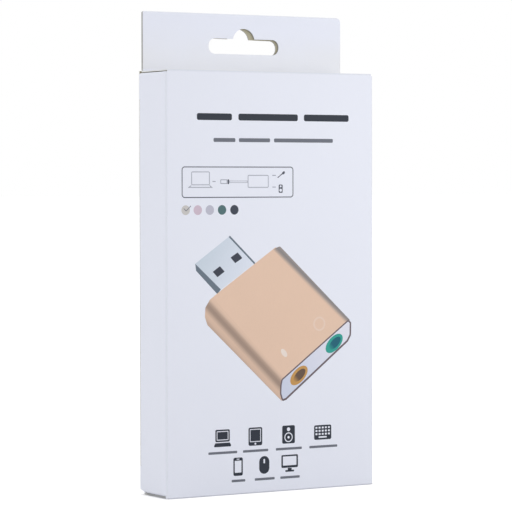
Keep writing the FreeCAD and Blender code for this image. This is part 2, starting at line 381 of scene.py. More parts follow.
def slot_outline(carton, width, shift, fall):
    """Hanging slot as (x, z) points: a bar with a round bump on its upper edge."""
    middle = (carton.tab_left + carton.tab_right) / 2 - shift
    low = carton.height + carton.slot_lift
    high = low + carton.slot_height
    left = middle - width / 2
    right = middle + width / 2
    bar = panel(left, low, right, high, carton.slot_corner)
    upper_left = 3 * (ARC_STEPS + 1)
    centre_z = high + carton.bump_rise - carton.bump_radius
    start = math.asin((high - centre_z) / carton.bump_radius)
    steps = OVAL_STEPS // 2
    bump = []
    for step in range(steps + 1):
        angle = start + (math.pi - 2 * start) * step / steps
        bump.append(Vector((
            middle + carton.bump_radius * math.cos(angle),
            centre_z + carton.bump_radius * math.sin(angle),
        )))
    pivot = Vector((left, high))
    turn = Matrix.Rotation(-math.asin(fall / width), 2)
    return [pivot + turn @ (point - pivot) for point in bar[:upper_left] + bump + bar[upper_left:]]


# Folding of the board

def along(start, heading, moves, distance):
    """Place, heading and bend share after a distance along (length, turn) moves from start."""
    here = Vector(start)
    share = 0.0
    for stretch, turn in moves:
        step = min(distance, stretch)
        ahead = Vector((math.cos(heading), math.sin(heading)))
        if turn:
            part = turn * step / stretch
            radius = stretch / turn
            left = Vector((-ahead.y, ahead.x))
            here = here + ahead * (radius * math.sin(part)) + left * (radius * (1 - math.cos(part)))
            heading += part
            share = step / stretch
        else:
            here = here + ahead * step
            share = 0.0
        distance -= step
        if distance <= 0:
            break
    return here, heading, share


def spread(first, last, steps):
    """Even divisions of a bend, with a line on either side that holds the flat board."""
    hold = math.copysign(CREASE_HOLD, last - first)
    inner = [first + (last - first) * step / steps for step in range(steps + 1)]
    return [first - hold, *inner, last + hold]


TurnIn = namedtuple("TurnIn", "low high start way radius angle wear", defaults=(1.0,))


class SleeveBlank:
    """Flat sheet of the sleeve, s along it and t up it, and where folding puts its face's points."""

    def __init__(self, carton):
        self.carton = carton
        r = carton.fold_outer
        quarter = r * QUARTER_TURN
        self.moves = [
            (carton.glue_width - r, 0.0),
            (quarter, QUARTER_TURN),
            (carton.rear_y - carton.front_y - r, 0.0),
            (quarter, QUARTER_TURN),
            (carton.width - 2 * r, 0.0),
            (quarter, QUARTER_TURN),
            (carton.half_depth - carton.front_y - 2 * r, 0.0),
            (quarter, QUARTER_TURN),
            (carton.width - r - carton.seam_inset, 0.0),
        ]
        stations = list(itertools.accumulate(stretch for stretch, turn in self.moves))
        self.left_start, self.left_end, self.front_start = stations[1:4]
        self.front_end, self.right_start, self.right_end, self.back_start, self.back_end = stations[4:]
        back_inside = carton.half_depth - carton.board
        top_span = (
            carton.top_hinge_y - carton.tuck_clear(carton.top_reach),
            back_inside - carton.dust_side_gap,
        )
        bottom_span = (
            carton.front_y + carton.board + carton.dust_side_gap,
            min(
                carton.bottom_hinge_y + carton.tuck_clear(carton.bottom_reach),
                back_inside - carton.relief_depth - carton.dust_side_gap,
            ),
        )
        top_fold = carton.side_high - r
        bottom_fold = carton.side_low + r
        self.top_flaps = [
            TurnIn(*root, top_fold, 1, r, QUARTER_TURN) for root in self.flap_roots(*top_span)
        ]
        self.bottom_flaps = [
            TurnIn(*root, bottom_fold, -1, r, QUARTER_TURN) for root in self.flap_roots(*bottom_span)
        ]
        self.slit = carton.nick / 2
        self.foot = TurnIn(
            self.front_start + self.slit,
            self.front_end - self.slit,
            carton.foot_fold,
            -1,
            carton.foot_fold,
            QUARTER_TURN,
            wear=0.0,
        )
        self.crown = TurnIn(
            self.back_start, self.back_end, carton.tab_bend_z, 1, carton.tab_bend, math.pi, wear=DARK_EDGE
        )
        self.turn_ins = [*self.top_flaps, *self.bottom_flaps, self.foot, self.crown]

    def flap_roots(self, near_y, far_y):
        """Stretches of the left and right panels that carry a dust flap between two places on Y."""
        carton = self.carton
        right_zero = self.right_start - carton.front_y - carton.fold_outer
        left_zero = self.left_start + carton.rear_y
        left = left_zero - far_y, min(left_zero - near_y, self.left_end)
        right = max(right_zero + near_y, self.right_start), min(right_zero + far_y, self.right_end)
        return left, right

    def on_back(self, x):
        """Distance along the sheet of a place on the back panel or the tab."""
        return self.back_start + self.carton.half_width - self.carton.fold_outer - x

    def flap_corners(self, flap):
        """Corners of a dust flap, with the nicks at its root, in the order of rising s."""
        carton = self.carton
        edge = flap.start + flap.way * flap.radius
        bend_end = flap.start + flap.way * flap.radius * flap.angle
        tip = bend_end + flap.way * (carton.dust_length - flap.radius)
        taper = carton.dust_taper
        return [
            (flap.low - carton.nick, edge, 0),
            (flap.low - carton.nick, flap.start, 0),
            (flap.low, flap.start, 0),
            (flap.low, bend_end, 0),
            (flap.low + taper, tip, carton.dust_corner),
            (flap.high - taper, tip, carton.dust_corner),
            (flap.high, bend_end, 0),
            (flap.high, flap.start, 0),
            (flap.high + carton.nick, flap.start, 0),
            (flap.high + carton.nick, edge, 0),
        ]

    def tab_edge(self, x, inward, radius):
        """One side edge of the tab, from the back panel over the crown, with its corner cut round."""
        carton = self.carton
        top = carton.height + carton.tab_height
        half = []
        for step in range(ARC_STEPS + 1):
            angle = QUARTER_TURN * step / ARC_STEPS
            z = top - radius + radius * math.sin(angle)
            over = max(0.0, min(1.0, (z - carton.tab_bend_z) / carton.tab_bend))
            t = min(z, carton.tab_bend_z) + carton.tab_bend * math.asin(over)
            half.append((self.on_back(x + inward * radius * (1 - math.cos(angle))), t))
        crown_line = carton.tab_bend_z + carton.tab_bend * QUARTER_TURN
        mirrored = [(s, 2 * crown_line - t) for s, t in half[-2::-1]]
        low = carton.height
        end = 2 * crown_line - carton.height - carton.crease_gap
        s = self.on_back(x)
        return [(s, low, 0), *[(*point, 0) for point in half + mirrored], (s, end, 0)]

    def outline(self):
        """Cut outline of the sheet."""
        c = self.carton
        foot = self.foot
        ear = self.left_start + c.rear_y - c.half_depth + c.board + c.seat_gap
        foot_end = foot.start + foot.radius * (1 - foot.angle) - c.fold_outer + c.film
        back_cut = (c.side_low + c.relief_rise) * (1 - c.seam_inset / c.relief_width)
        left_tab = self.tab_edge(c.tab_left, 1, c.tab_corner_left)
        right_tab = self.tab_edge(c.tab_right, -1, c.tab_corner_right)
        return rounded([
            (0, c.seam_low + c.glue_taper, 0),
            (self.left_start, c.seam_low, 0),
            (self.left_start, c.seam_low - c.nick, 0),
            (ear, c.seam_low - c.nick, 0),
            (ear, c.side_low + c.relief_rise * (1 - c.seat_gap / c.relief_depth), 0),
            (ear - c.seat_gap + c.relief_depth, c.side_low, 0),
            *self.flap_corners(self.bottom_flaps[0]),
            (self.left_end + c.nick, c.corner_gap, 0),
            (self.front_start - self.slit, c.corner_gap, 0),
            (self.front_start - self.slit, foot.start, 0),
            (foot.low, foot.start, 0),
            (foot.low, foot_end, 0),
            (foot.high, foot_end, 0),
            (foot.high, foot.start, 0),
            (self.front_end + self.slit, foot.start, 0),
            (self.front_end + self.slit, c.corner_gap, 0),
            (self.right_start - c.nick, c.corner_gap, 0),
            *self.flap_corners(self.bottom_flaps[1]),
            (self.back_start, c.side_low, 0),
            (self.back_start, 0, 0),
            (self.on_back(c.relief_width - c.half_width), 0, 0),
            (self.back_end, back_cut, 0),
            (self.back_end, c.height, 0),
            *left_tab,
            *right_tab[::-1],
            (self.back_start, c.height, 0),
            (self.back_start, c.side_high, 0),
            *self.flap_corners(self.top_flaps[1])[::-1],
            (self.front_end, c.side_high, 0),
            (self.front_end, c.height, 0),
            (self.front_start, c.height, 0),
            (self.front_start, c.side_high, 0),
            *self.flap_corners(self.top_flaps[0])[::-1],
            (ear, c.side_high, 0),
            (ear, c.seam_high + c.nick, 0),
            (self.left_start, c.seam_high + c.nick, 0),
            (self.left_start, c.seam_high, 0),
            (0, c.seam_high - c.glue_taper, 0),
        ])

    def slots(self):
        """Hanging slots of the tab's rear and front layers."""
        crown_line = self.crown.start + self.crown.radius * QUARTER_TURN
        c = self.carton
        rear = slot_outline(c, c.slot_width + 2 * c.slot_extra, c.slot_shift, c.slot_fall)
        front = slot_outline(c, c.slot_width, 0, 0)
        return [
            [(self.on_back(x), z) for x, z in rear],
            [(self.on_back(x), 2 * crown_line - z) for x, z in front],
        ]

    def creases(self):
        """Lines across the sheet where it is divided for bending: distances along it and up it."""
        upright = []
        reached = 0.0
        for stretch, turn in self.moves:
            if turn:
                upright += spread(reached, reached + stretch, BEND_STEPS)
            reached += stretch
        level_lines = []
        for fold in (self.top_flaps[0], self.bottom_flaps[0], self.foot, self.crown):
            last = fold.start + fold.way * fold.radius * fold.angle
            steps = round(BEND_STEPS * fold.angle / QUARTER_TURN)
            level_lines += spread(fold.start, last, steps)
        level_lines.append(self.carton.height - self.carton.rim)
        return upright, level_lines

    def place(self, s, t):
        """Folded place of a point of the sheet's outer face, and how dark the crease colour makes it there:
        how sharply it bends, or more along the front panel's upper edge.
        """
        c = self.carton
        beside_seam = not c.seam_low - c.nick / 2 < t < c.seam_high + c.nick / 2
        if s < self.left_start and beside_seam:
            spot = Vector((-c.half_width, c.rear_y + self.left_start - s))
            heading = -QUARTER_TURN
            share = 0.0
        else:
            start = (c.glue_width - c.half_width, c.rear_y + c.fold_outer)
            spot, heading, share = along(start, math.pi, self.moves, s)
        outward = Vector((math.sin(heading), -math.cos(heading)))
        darkening = math.sin(math.pi * share)
        # The strip along the front panel's upper edge is painted darker with the crease colour.
        if self.front_start - c.nick < s < self.front_end + c.nick:
            darkening = max(darkening, DARK_EDGE * (1 - (c.height - t) / c.rim))
        z = t
        for fold in self.turn_ins:
            past = fold.way * (t - fold.start)
            if past > 0 and fold.low - c.nick / 2 < s < fold.high + c.nick / 2:
                angle = min(past / fold.radius, fold.angle)
                flat = max(0.0, past - fold.radius * fold.angle)
                inward = fold.radius * (1 - math.cos(angle)) + flat * math.sin(fold.angle)
                onward = fold.radius * math.sin(angle) + flat * math.cos(fold.angle)
                spot -= outward * inward
                z = fold.start + fold.way * onward
                darkening = max(darkening, fold.wear * math.sin(math.pi * angle / fold.angle))
        return Vector((spot.x, spot.y, z)), darkening


class LidBlank:
    """Flat sheet of a lid and its tuck, t from the hinge, and where folding puts its face's points."""

    def __init__(self, carton, reach, edge):
        self.carton = carton
        self.reach = reach
        self.edge = edge
        self.fold = reach - carton.fold_outer
        self.turn = QUARTER_TURN + carton.tuck_lean(reach)
        self.bend_end = self.fold + carton.fold_outer * self.turn

    def outline(self):
        """Cut outline of the sheet."""
        c = self.carton
        tip = self.bend_end + c.tuck_length - c.fold_outer
        shoulder = self.reach - c.shoulder_gap
        half = [
            (self.edge, c.crease_gap, 0),
            (self.edge, shoulder, 0),
            (c.tuck_edge + c.nick, shoulder, 0),
            (c.tuck_edge + c.nick, self.fold, 0),
            (c.tuck_edge, self.fold, 0),
            (c.tuck_edge, tip, c.tuck_corner),
        ]
        return rounded(half + [(-u, t, radius) for u, t, radius in half[::-1]])

    def slots(self):
        """A lid has none."""
        return []

    def creases(self):
        """Lines across the sheet where it is divided for bending."""
        return [], spread(self.fold, self.bend_end, BEND_STEPS + 1)

    def place(self, u, t):
        """Folded place, with the hinge at the origin and the face up, and how sharply it bends there."""
        c = self.carton
        if abs(u) > c.tuck_edge + c.nick / 2 or t < self.fold:
            return Vector((-u, -t, 0)), 0.0
        angle = min((t - self.fold) / c.fold_outer, self.turn)
        flat = max(0.0, t - self.bend_end)
        ahead = self.fold + c.fold_outer * math.sin(angle) + flat * math.cos(self.turn)
        down = c.fold_outer * (1 - math.cos(angle)) + flat * math.sin(self.turn)
        return Vector((-u, -ahead, -down)), math.sin(math.pi * angle / self.turn)


def wound_left(points):
    """Outline's points in anticlockwise order."""
    places = [Vector(point) for point in points]
    area = sum(places[index - 1].cross(place) for index, place in enumerate(places))
    return places if area > 0 else places[::-1]


def fill(sheet, outlines):
    """Triangles of a flat outline without its holes, facing up."""
    points = []
    loops = []
    for outline in outlines:
        loops.append(list(range(len(points), len(points) + len(outline))))
        points += wound_left(outline)
    places, _, triangles, _, _, owners = delaunay_2d_cdt(points, [], loops, 0, FILL_TOLERANCE)
    verts = {}
    faces = []
    for triangle, inside in zip(triangles, owners):
        if inside != [0]:
            continue
        for index in triangle:
            if index not in verts:
                verts[index] = sheet.verts.new((*places[index], 0))
        faces.append(sheet.faces.new([verts[index] for index in triangle]))
    for face in faces:
        face.normal_update()
        if face.normal.z < 0:
            face.normal_flip()
    return faces


def folded_sheet(blank, settle):
    """Sheet cut from a blank, divided along its creases and folded. Settle moves the folded place."""
    sheet = bmesh.new()
    fill(sheet, [blank.outline(), *blank.slots()])
    upright, level_lines = blank.creases()
    cuts = [(Vector((s, 0, 0)), Vector((1, 0, 0))) for s in upright]
    cuts += [(Vector((0, t, 0)), Vector((0, 1, 0))) for t in level_lines]
    for place, way in cuts:
        geometry = sheet.verts[:] + sheet.edges[:] + sheet.faces[:]
        bmesh.ops.bisect_plane(sheet, geom=geometry, dist=CUT_TOLERANCE, plane_co=place, plane_no=way)
    fold_layer = sheet.verts.layers.float.new("fold")
    for vert in sheet.verts:
        folded, darkening = blank.place(vert.co.x, vert.co.y)
        vert.co = settle(folded) * MM
        vert[fold_layer] = darkening
    return sheet


def make_piece(name, sheet, materials, thickness, offsets=(0, 0)):
    """Object of a sheet thickened behind its face. Offsets give its back's and its rim's materials."""
    mesh = bpy.data.meshes.new(name)
    sheet.to_mesh(mesh)
    sheet.free()
    for material in materials:
        mesh.materials.append(material)
    piece = bpy.data.objects.new(name, mesh)
    bpy.context.scene.collection.objects.link(piece)
    shell = piece.modifiers.new("Thickness", 'SOLIDIFY')
    shell.thickness = thickness * MM
    shell.offset = -1.0
    shell.use_even_offset = True
    shell.use_quality_normals = True
    shell.material_offset, shell.material_offset_rim = offsets
    seen = piece.evaluated_get(bpy.context.evaluated_depsgraph_get())
    solid = bpy.data.meshes.new_from_object(seen)
    piece.modifiers.clear()
    piece.data = solid
    bpy.data.meshes.remove(mesh)
    solid.name = name
    solid.polygons.foreach_set("use_smooth", [True] * len(solid.polygons))
    solid.set_sharp_from_angle(angle=SHARP_ANGLE)
    return piece


# Finishes

Paper = namedtuple("Paper", "mottle roughness bump gloss")
COATED = Paper(0.02, 0.48, 0.1, 0.5)
UNCOATED = Paper(0.14, 0.85, 0.3, 0.1)
PULP = Paper(0.3, 0.9, 0.4, 0.1)
INKED = Paper(0.05, 0.42, 0.08, 0.15)
RELIEF_DEPTH = 0.2 * MM

Grain = namedtuple("Grain", "scale detail")  # noise, with its scale per metre
FIBRE = Grain(3200.0, 3.0)
CLOUD = Grain(45.0, 2.0)
WAVE = Grain(22.0, 1.0)
CRACK = Grain(900.0, 3.0)
# Noise that makes the top of the shade painted low on the tab uneven
TAB_SHADE_GRAIN = Grain(60.0, 2.0)
FIBRE_STRETCH = (1.0, 1.0, 0.3)
FIBRE_RELIEF = 0.12  # height of the fibres, where that of the board's waves is 1
CLOUD_ROUGHNESS = 0.06  # most that the clouds add to the roughness or take from it
CRACK_LEAST = 0.4
CRACK_MOST = 1.3
WEAR = 0.4  # share of the crease's colour where a fold is sharpest
TAB_SHADE_BLEND = 1.2 * MM  # height over which the painted shade on the tab begins
TAB_SHADE_STRAY = 4.0 * MM  # unevenness of the height where the shade painted low on the tab ends
TAB_SHADE_RISE = 20.0  # height of the shade painted low on the tab, in millimetres
MIX_FIRST = 6  # places of a mix node's colour sockets
MIX_SECOND = 7
MIX_RESULT = 2


def add_node(tree, kind, inputs=None, **values):
    """Node with its properties set, and its inputs linked to sockets or set to values."""
    node = tree.nodes.new(kind)
    for name, value in values.items():
        setattr(node, name, value)
    for name, value in (inputs or {}).items():
        if isinstance(value, bpy.types.NodeSocket):
            tree.links.new(value, node.inputs[name])
        else:
            node.inputs[name].default_value = value
    return node


def new_group(name, inputs, outputs, input_kind='NodeSocketFloat'):
    """Shader node group with named inputs of one kind, and named outputs that are values."""
    tree = bpy.data.node_groups.new(name, 'ShaderNodeTree')
    for socket in inputs:
        tree.interface.new_socket(socket, in_out='INPUT', socket_type=input_kind)
    for socket in outputs:
        tree.interface.new_socket(socket, in_out='OUTPUT', socket_type='NodeSocketFloat')
    given = tree.nodes.new('NodeGroupInput')
    out = tree.nodes.new('NodeGroupOutput')
    return tree, given.outputs, out.inputs


def use_group(tree, name, build, **values):
    """Group node with its own values. The group is built once."""
    node = tree.nodes.new('ShaderNodeGroup')
    node.node_tree = bpy.data.node_groups.get(name) or build(name)
    for socket, value in values.items():
        node.inputs[socket].default_value = value
    return node


def object_place(tree):
    """Place on the object, in metres."""
    return add_node(tree, 'ShaderNodeTexCoord').outputs["Object"]


def noise(tree, place, grain):
    """Noise as a value from 0 to 1."""
    inputs = {"Vector": place, "Scale": grain.scale, "Detail": grain.detail}
    return add_node(tree, 'ShaderNodeTexNoise', inputs).outputs["Fac"]


def remap(tree, value, low, high):
    """Value from 0 to 1, mapped to low and high."""
    inputs = {"Value": value, "To Min": low, "To Max": high}
    return add_node(tree, 'ShaderNodeMapRange', inputs).outputs["Result"]


def swing(tree, value, reach):
    """Value from 0 to 1, mapped to either side of 0."""
    return remap(tree, value, -reach, reach)


def smooth_step(tree, value, low, high):
    """Value eased from 0 at low to 1 at high."""
    inputs = {"Value": value, "From Min": low, "From Max": high}
    return add_node(tree, 'ShaderNodeMapRange', inputs, interpolation_type='SMOOTHSTEP').outputs["Result"]


def maths(tree, operation, first, *others):
    """Result of a maths operation on sockets or values, taken in turn."""
    for other in others:
        first = add_node(tree, 'ShaderNodeMath', {0: first, 1: other}, operation=operation).outputs[0]
    return first


def mixed(tree, factor, first, second, blend_type='MIX'):
    """Colour of two colours mixed by a factor."""
    inputs = {"Factor": factor, MIX_FIRST: first, MIX_SECOND: second}
    mix = add_node(tree, 'ShaderNodeMix', inputs, data_type='RGBA', blend_type=blend_type)
    return mix.outputs[MIX_RESULT]


def opaque(base):
    """Colour with a full alpha."""
    return (*base, 1.0)


def build_board_fibre(name):
    """Paper fibre under a coating: a tone to multiply by, a roughness and a height."""
    tree, given, out = new_group(name, ["Mottle", "Roughness"], ["Tone", "Roughness", "Height"])
    place = object_place(tree)
    upward = add_node(tree, 'ShaderNodeMapping', {"Vector": place, "Scale": FIBRE_STRETCH})
    fibre = noise(tree, upward.outputs["Vector"], FIBRE)
    cloud = noise(tree, place, CLOUD)
    mottle = maths(tree, 'ADD', swing(tree, fibre, 0.5), swing(tree, cloud, 0.5))
    tone = maths(tree, 'ADD', 1.0, maths(tree, 'MULTIPLY', mottle, given["Mottle"]))
    rough = maths(tree, 'ADD', given["Roughness"], swing(tree, cloud, CLOUD_ROUGHNESS))
    height = maths(tree, 'ADD', remap(tree, fibre, 0.0, FIBRE_RELIEF), noise(tree, place, WAVE))
    tree.links.new(tone, out["Tone"])
    tree.links.new(rough, out["Roughness"])
    tree.links.new(height, out["Height"])
    return tree


def build_fold_wear_and_edge_strip(name):
    """Mask of the coating that is cracked along the creases, and of the darker strip along the front
    panel's upper edge.
    """
    tree, given, out = new_group(name, ["Amount"], ["Wear"])
    fold = add_node(tree, 'ShaderNodeAttribute', attribute_name="fold").outputs["Fac"]
    cracks = remap(tree, noise(tree, object_place(tree), CRACK), CRACK_LEAST, CRACK_MOST)
    tree.links.new(maths(tree, 'MULTIPLY', fold, cracks, given["Amount"]), out["Wear"])
    return tree


def build_tab_shade_mask(name):
    """Masks of painted shade on the hang tab: the tab above Foot, and its face before Rear, fading out
    towards Crown.
    """
    tree, given, out = new_group(name, ["Foot", "Crown", "Rear"], ["Tab", "Low"])
    place = object_place(tree)
    spot = add_node(tree, 'ShaderNodeSeparateXYZ', {"Vector": place}).outputs
    front = maths(tree, 'LESS_THAN', spot["Y"], given["Rear"])
    tab = smooth_step(tree, spot["Z"], given["Foot"], maths(tree, 'ADD', given["Foot"], TAB_SHADE_BLEND))
    height = maths(tree, 'ADD', spot["Z"], swing(tree, noise(tree, place, TAB_SHADE_GRAIN), TAB_SHADE_STRAY))
    fade = smooth_step(tree, height, given["Foot"], given["Crown"])
    tree.links.new(tab, out["Tab"])
    tree.links.new(maths(tree, 'MULTIPLY', tab, front, maths(tree, 'SUBTRACT', 1.0, fade)), out["Low"])
    return tree


def build_print_fade(name):
    """Position between two lines across the print, from 0 at Start to 1 at Start plus Span."""
    tree, given, out = new_group(name, ["Start", "Span"], ["Fade"], 'NodeSocketVector')

    def vectors(operation, first, second, result):
        node = add_node(tree, 'ShaderNodeVectorMath', {0: first, 1: second}, operation=operation)
        return node.outputs[result]

    past = vectors('SUBTRACT', object_place(tree), given["Start"], "Vector")
    reach = vectors('DOT_PRODUCT', past, given["Span"], "Value")
    whole = vectors('DOT_PRODUCT', given["Span"], given["Span"], "Value")
    tree.links.new(maths(tree, 'DIVIDE', reach, whole), out["Fade"])
    return tree


def paper_material(name, base_of, paper):
    """Material on paper. Base_of gives its colour from its node tree."""
    material = bpy.data.materials.new(name)
    material.use_nodes = True
    tree = material.node_tree
    shader = tree.nodes["Principled BSDF"].inputs
    shader["Specular IOR Level"].default_value = paper.gloss
    values = {"Mottle": paper.mottle, "Roughness": paper.roughness}
    fibre = use_group(tree, "Board fibre", build_board_fibre, **values).outputs
    tint = add_node(tree, 'ShaderNodeCombineColor', dict.fromkeys(("Red", "Green", "Blue"), fibre["Tone"]))
    base = mixed(tree, 1.0, base_of(tree), tint.outputs["Color"], 'MULTIPLY')
    inputs = {"Strength": paper.bump, "Distance": RELIEF_DEPTH, "Height": fibre["Height"]}
    relief = add_node(tree, 'ShaderNodeBump', inputs)
    tree.links.new(base, shader["Base Color"])
    tree.links.new(fibre["Roughness"], shader["Roughness"])
    tree.links.new(relief.outputs["Normal"], shader["Normal"])
    return material


def board_materials(finish, carton):
    """Coated face, uncoated inside and cut edge of the carton's board, made once."""
    names = ("coated_face", "uncoated_inside", "cut_edge")
    if names[0] in bpy.data.materials:
        return [bpy.data.materials[name] for name in names]
    # Where the shade is painted on the hang tab
    span = {
        "Foot": carton.height * MM,
        "Crown": (carton.height + TAB_SHADE_RISE) * MM,
        "Rear": (carton.half_depth - carton.tab_bend) * MM,
    }

    # Colour painted darker on the hang tab, through one of the tab shade masks
    def with_tab_shade(tree, mask, plain, tab):
        on_tab = use_group(tree, "Tab mask", build_tab_shade_mask, **span)
        return mixed(tree, on_tab.outputs[mask], opaque(plain), opaque(tab))

    def face_colour(tree):
        wear = use_group(tree, "Fold wear", build_fold_wear_and_edge_strip, Amount=WEAR)
        # Painted shade: the coat is greyer and darker low on the tab's front face
        face = with_tab_shade(tree, "Low", finish.face, finish.tab)
        return mixed(tree, wear.outputs["Wear"], face, opaque(finish.crease))

    def inside_colour(tree):
        return opaque(finish.inside)

    def edge_colour(tree):
        # Painted shade: cut edges on the hang tab are darker than those elsewhere
        return with_tab_shade(tree, "Tab", finish.cut_edge, finish.tab_edge)

    bases = (face_colour, inside_colour, edge_colour)
    papers = (COATED, UNCOATED, PULP)
    return [paper_material(*parts) for parts in zip(names, bases, papers)]


def faded_ink(name, start, end, first, second, shares):
    """Ink between two places on the front panel, with shares of the second colour at positions."""

    def fade_colour(tree):
        fade = use_group(
            tree,
            "Print fade",
            build_print_fade,
            Start=(start[0] * MM, 0.0, start[1] * MM),
            Span=((end[0] - start[0]) * MM, 0.0, (end[1] - start[1]) * MM),
        )
        ramp = add_node(tree, 'ShaderNodeValToRGB', {"Fac": fade.outputs["Fade"]})
        marks = ramp.color_ramp.elements
        for position, share in shares[1:-1]:
            marks.new(position)
        for mark, (position, share) in zip(marks, shares):
            mark.position = position
            mark.color = opaque(first.lerp(second, share))
        return ramp.outputs["Color"]

    return paper_material(name, fade_colour, INKED)


# Print

PRINT_LAYERS = 6  # steps of ink that share the film's room, named for the adaptor's picture
UNDER, SHELL, SHELL_EDGE, END, JACK, OPENING = range(PRINT_LAYERS)
INK_DEPTH = 2  # thickness of an ink field in films, so that it reaches into the board
BAR_ROUNDNESS = 0.3  # a bar's corner radius over its height
GROOVE = 0.3  # bare line round a pictogram's screen
EVEN_FADE = ((0.0, 0.0), (1.0, 1.0))
Field = namedtuple("Field", "ink outline holes layer", defaults=((), 0))


def print_piece(name, fields, carton):
    """Piece of thin ink fields on the front panel, each a step nearer than the layer under it."""
    sheet = bmesh.new()
    inks = []
    layer_step = carton.film / PRINT_LAYERS
    for field in fields:
        if field.ink not in inks:
            inks.append(field.ink)
        y = carton.front_y - layer_step * (field.layer + 1)
        faces = fill(sheet, [field.outline, *field.holes])
        for vert in {vert for face in faces for vert in face.verts}:
            vert.co = Vector((vert.co.x, y, vert.co.y)) * MM
        for face in faces:
            face.material_index = inks.index(field.ink)
    piece = make_piece(name, sheet, inks, carton.film * INK_DEPTH)
    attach(piece, "carton")
    return piece


def bar_row(ink, middle, height, spans):
    """Row of rounded bars from left to right ends, at one height."""
    low = middle - height / 2
    high = low + height
    return [Field(ink, panel(left, low, right, high, height * BAR_ROUNDNESS)) for left, right in spans]


def ringed(ink, corners, thickness):
    """Line of a thickness inside an outline."""
    return Field(ink, rounded(corners), (rounded(inset(corners, thickness)),))


class CartonOperator:
    """What the carton's operators share."""
    bl_options = {'REGISTER'}

    def begin(self, context):
        """Sizes, and the inks' colours."""
        self.carton = Carton(context.scene.carton_sizes)
        self.inks = context.scene.carton_inks

    def tone(self, name):
        """Colour of a named ink."""
        return Vector(getattr(self.inks, name)[:])

    def ink(self, name):
        """Material of a named ink, made once."""
        base = opaque(self.tone(name))
        found = bpy.data.materials.get(f"ink_{name}")
        return found or paper_material(f"ink_{name}", lambda tree: base, INKED)

    def fade(self, start, end, first, second, shares=EVEN_FADE):
        """Material that changes from one named ink towards another between two places."""
        return faded_ink(f"ink_{second}_fade", start, end, self.tone(first), self.tone(second), shares)

    def fold(self, context, body, blank, settle):
        """Fold a blank into the piece of board that stands for a body's solid."""
        board = self.carton.board
        materials = board_materials(context.scene.carton_board, self.carton)
        piece = make_piece(f"{body}_board", folded_sheet(blank, settle), materials, board, BACK_AND_RIM)
        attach(piece, body)
        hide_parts(body)


class CARTON_OT_fold_sleeve(CartonOperator, bpy.types.Operator):
    """Fold the sleeve with its seam, dust flaps and hang tab"""
    bl_idname = "carton.fold_sleeve"
    bl_label = "Fold sleeve"

    def execute(self, context):
        self.begin(context)
        self.fold(context, "carton", SleeveBlank(self.carton), lambda place: place)
        return {'FINISHED'}


class CARTON_OT_fold_lids(CartonOperator, bpy.types.Operator):
    """Fold the top and bottom lids with their tucks"""
    bl_idname = "carton.fold_lids"
    bl_label = "Fold lids"

    def execute(self, context):
        self.begin(context)
        c = self.carton
        top_hinge = Vector((0, c.top_hinge_y, c.height))
        bottom_hinge = Vector((0, c.bottom_hinge_y, c.foot_gap))
        top = LidBlank(c, c.top_reach, c.lid_edge)
        bottom = LidBlank(c, c.bottom_reach, c.base_edge)
        over = Vector((1, -1, -1))
        self.fold(context, "top_lid", top, lambda place: place + top_hinge)
        self.fold(context, "bottom_lid", bottom, lambda place: place * over + bottom_hinge)
        return {'FINISHED'}


class CARTON_OT_print_headline(CartonOperator, bpy.types.Operator):
    """Print two rows of bars at the top"""
    bl_idname = "carton.print_headline"
    bl_label = "Print headline"

    def execute(self, context):
        self.begin(context)
        heavy = ((-33.4, -17.9), (-15.0, 11.9), (14.7, 35.5))
        light = ((-26.1, -16.4), (-14.8, -0.8), (1.0, 28.1))
        fields = bar_row(self.ink("slate"), 144.4, 2.6, heavy)
        fields += bar_row(self.ink("grey"), 135.6, 1.5, light)
        print_piece("headline_bars", fields, self.carton)
        return {'FINISHED'}


class CARTON_OT_print_diagram(CartonOperator, bpy.types.Operator):
    """Print the line diagram of how the pictured adaptor is connected"""
    bl_idname = "carton.print_diagram"
    bl_label = "Print diagram"

    def execute(self, context):
        self.begin(context)
        line, border = self.ink("line"), self.ink("border")
        thin = 0.3
        dash = 0.35
        fields = [
            ringed(border, rectangle(-40.1, 113.6, 9.8, 125.5, 1.3), 0.36),
            ringed(line, rectangle(-35.9, 118.4, -27.8, 123.6, 0.5), thin),
            Field(line, stroke([(-35.9, 118.3), (-37.0, 117.6), (-26.9, 117.6), (-27.9, 118.3)], thin)),
            Field(line, panel(-26.6, 119.65, -25.2, 119.65 + dash)),
            ringed(line, rectangle(-23.1, 118.9, -20.0, 120.6, 0.2), thin),
            Field(border, panel(-19.9, 118.8, -19.2, 120.6, 0.2)),
            ringed(line, rectangle(-19.1, 119.3, -11.0, 120.1, 0.1), 0.2),
            ringed(line, rectangle(-10.9, 117.4, -1.5, 122.3, 0.5), thin),
            Field(line, panel(0.2, 121.95, 1.8, 121.95 + dash)),
            Field(line, panel(0.2, 117.45, 1.8, 117.45 + dash)),
            Field(border, stroke([(2.6, 121.2), (4.8, 122.8)], dash)),
            Field(border, oval((5.3, 123.1), 0.75, 0.5, 38)),
            Field(
                border,
                panel(3.1, 115.4, 4.9, 118.6, 0.4),
                (oval((4.0, 117.9), 0.4, 0.4), oval((4.0, 116.4), 0.6, 0.6)),
            ),
        ]
        print_piece("diagram_lines", fields, self.carton)
        return {'FINISHED'}


